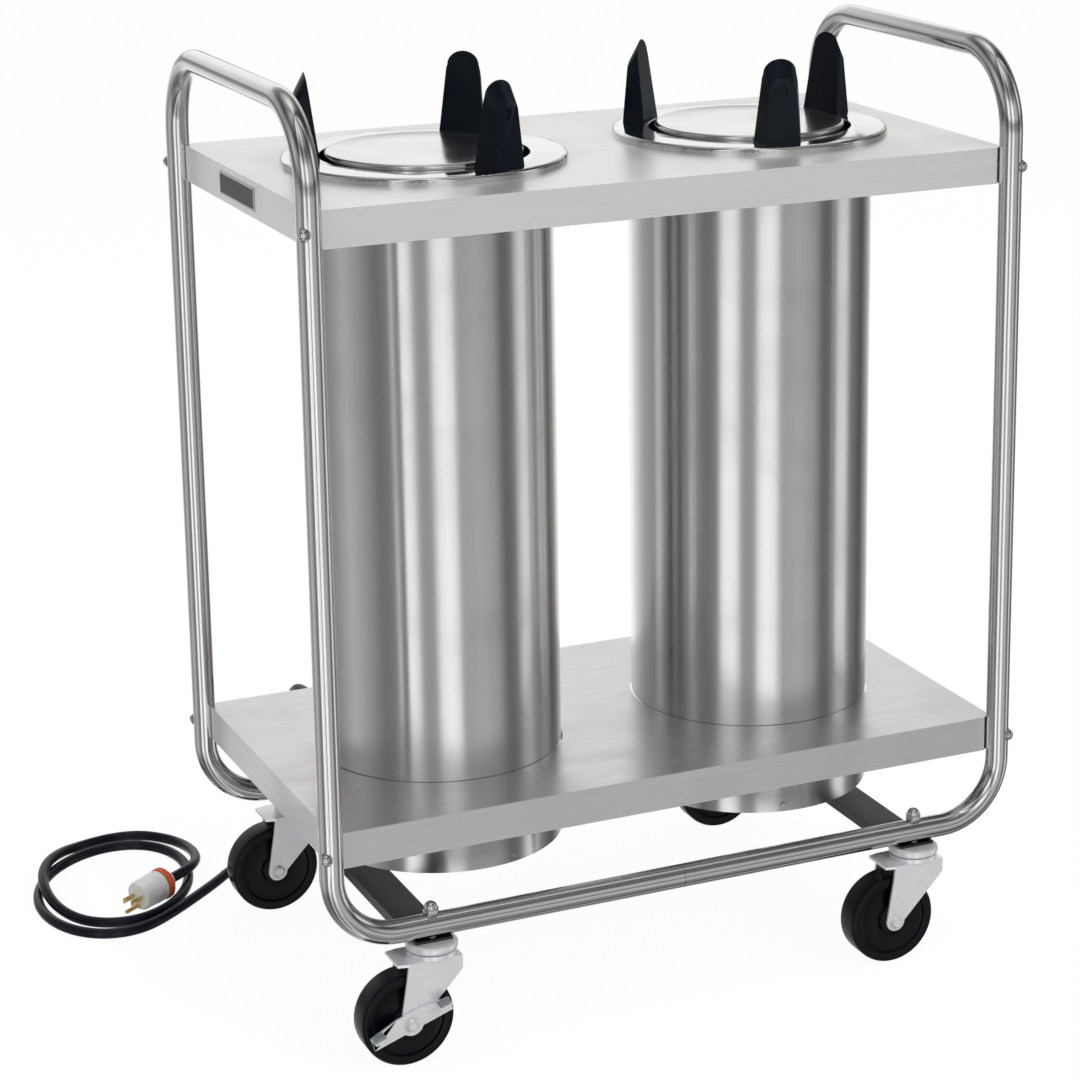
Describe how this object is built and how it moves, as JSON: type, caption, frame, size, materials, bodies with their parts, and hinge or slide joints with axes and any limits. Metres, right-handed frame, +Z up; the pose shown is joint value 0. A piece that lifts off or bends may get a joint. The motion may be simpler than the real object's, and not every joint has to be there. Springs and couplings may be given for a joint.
{
  "type": "heated plate dispenser",
  "caption": "Mobile heated plate dispenser with sprung plate lifts in steel tubes on a tubular cart frame with swivel casters and a mains cord.",
  "frame": {"origin": "on the floor, under the middle of the frame", "axes": "+X along the cart's length towards the end away from the cord, -Y towards the front, +Z up"},
  "size_m": [0.9898, 0.7427, 1.0244],
  "materials": {
    "polished_tube": "polished",
    "bar_steel": "satin",
    "brushed_sheet": "brushed",
    "shell_steel": "brushed",
    "polished_ring": "polished",
    "platform_steel": "polished",
    "spring_wire": "satin",
    "post_plastic": "moulded",
    "heater_metal": "satin",
    "thermostat_plastic": "moulded",
    "bright_fastener": "polished",
    "caster_zinc": "bright zinc",
    "wheel_rubber": "satin",
    "pad_plastic": "moulded",
    "plate_blank": "satin",
    "box_steel": "satin",
    "relief_plastic": "moulded",
    "cord_jacket": "satin",
    "plug_shell": "moulded",
    "plug_collar": "moulded",
    "blade_brass": "bright"
  },
  "bodies": {
    "base": {"frame_tube_left": "polished_tube", "frame_tube_right": "polished_tube", "cross_bar_left": "bar_steel", "cross_bar_right": "bar_steel", "rail_splices": "bar_steel", "top_deck": "brushed_sheet", "lower_shelf": "brushed_sheet", "shell_left": "shell_steel", "shell_right": "shell_steel", "bottom_cap_left": "shell_steel", "bottom_cap_right": "shell_steel", "liner_left": "shell_steel", "liner_right": "shell_steel", "collar_left": "polished_ring", "collar_right": "polished_ring", "springs_left": "spring_wire", "springs_right": "spring_wire", "guide_post_left_1": "post_plastic", "guide_post_left_2": "post_plastic", "guide_post_left_3": "post_plastic", "guide_post_right_1": "post_plastic", "guide_post_right_2": "post_plastic", "guide_post_right_3": "post_plastic", "heaters": "heater_metal", "thermostats": "thermostat_plastic", "acorn_nuts": "bright_fastener", "frame_screws": "bright_fastener", "frame_nuts": "bright_fastener", "cap_screws": "bright_fastener", "post_screws": "bright_fastener", "caster_heads": "caster_zinc", "rating_plate": "plate_blank", "junction_box": "box_steel", "strain_relief": "relief_plastic", "cord_lead": "cord_jacket", "cord_coil": "cord_jacket", "plug_body": "plug_shell", "plug_ring": "plug_collar", "plug_blades": "blade_brass"},
    "carrier_left": {"carrier_plate_left": "platform_steel", "carrier_cage_left": "platform_steel"},
    "carrier_right": {"carrier_plate_right": "platform_steel", "carrier_cage_right": "platform_steel"},
    "caster_front_left": {"caster_fork_front_left": "caster_zinc", "caster_axle_front_left": "caster_zinc"},
    "wheel_front_left": {"caster_wheel_front_left": "wheel_rubber"},
    "caster_front_right": {"caster_fork_front_right": "caster_zinc", "caster_axle_front_right": "caster_zinc"},
    "wheel_front_right": {"caster_wheel_front_right": "wheel_rubber"},
    "caster_rear_left": {"caster_fork_rear_left": "caster_zinc", "caster_axle_rear_left": "caster_zinc"},
    "wheel_rear_left": {"caster_wheel_rear_left": "wheel_rubber"},
    "caster_rear_right": {"caster_fork_rear_right": "caster_zinc", "caster_axle_rear_right": "caster_zinc"},
    "wheel_rear_right": {"caster_wheel_rear_right": "wheel_rubber"},
    "brake_front_left": {"brake_lever_front_left": "caster_zinc", "brake_pads_front_left": "pad_plastic"},
    "brake_rear_right": {"brake_lever_rear_right": "caster_zinc", "brake_pads_rear_right": "pad_plastic"}
  },
  "joints": [
    {"name": "carrier_slide_left", "type": "slide", "parent": "base", "child": "carrier_left", "axis": [0, 0, 1], "range_m": [-0.43, 0], "stiffness_N_per_m": 820, "springref_m": 0.05, "deforming": ["springs_left"]},
    {"name": "carrier_slide_right", "type": "slide", "parent": "base", "child": "carrier_right", "axis": [0, 0, 1], "range_m": [-0.43, 0], "stiffness_N_per_m": 820, "springref_m": 0.05, "deforming": ["springs_right"]},
    {"name": "swivel_front_left", "type": "hinge", "parent": "base", "child": "caster_front_left", "pos_m": [-0.288, -0.217, 0.118], "axis": [0, 0, 1], "continuous": true},
    {"name": "wheel_spin_front_left", "type": "hinge", "parent": "caster_front_left", "child": "wheel_front_left", "pos_m": [-0.321, -0.217, 0.0508], "axis": [0, 1, 0], "continuous": true},
    {"name": "swivel_front_right", "type": "hinge", "parent": "base", "child": "caster_front_right", "pos_m": [0.288, -0.217, 0.118], "axis": [0, 0, 1], "continuous": true},
    {"name": "wheel_spin_front_right", "type": "hinge", "parent": "caster_front_right", "child": "wheel_front_right", "pos_m": [0.255, -0.217, 0.0508], "axis": [0, 1, 0], "continuous": true},
    {"name": "swivel_rear_left", "type": "hinge", "parent": "base", "child": "caster_rear_left", "pos_m": [-0.288, 0.217, 0.118], "axis": [0, 0, 1], "continuous": true},
    {"name": "wheel_spin_rear_left", "type": "hinge", "parent": "caster_rear_left", "child": "wheel_rear_left", "pos_m": [-0.321, 0.217, 0.0508], "axis": [0, 1, 0], "continuous": true},
    {"name": "swivel_rear_right", "type": "hinge", "parent": "base", "child": "caster_rear_right", "pos_m": [0.288, 0.217, 0.118], "axis": [0, 0, 1], "continuous": true},
    {"name": "wheel_spin_rear_right", "type": "hinge", "parent": "caster_rear_right", "child": "wheel_rear_right", "pos_m": [0.255, 0.217, 0.0508], "axis": [0, 1, 0], "continuous": true},
    {"name": "brake_front_left", "type": "hinge", "parent": "caster_front_left", "child": "brake_front_left", "pos_m": [-0.321, -0.217, 0.0508], "axis": [0, 1, 0], "range_deg": [0, 30]},
    {"name": "brake_rear_right", "type": "hinge", "parent": "caster_rear_right", "child": "brake_rear_right", "pos_m": [0.255, 0.217, 0.0508], "axis": [0, 1, 0], "range_deg": [0, 30]}
  ]
}
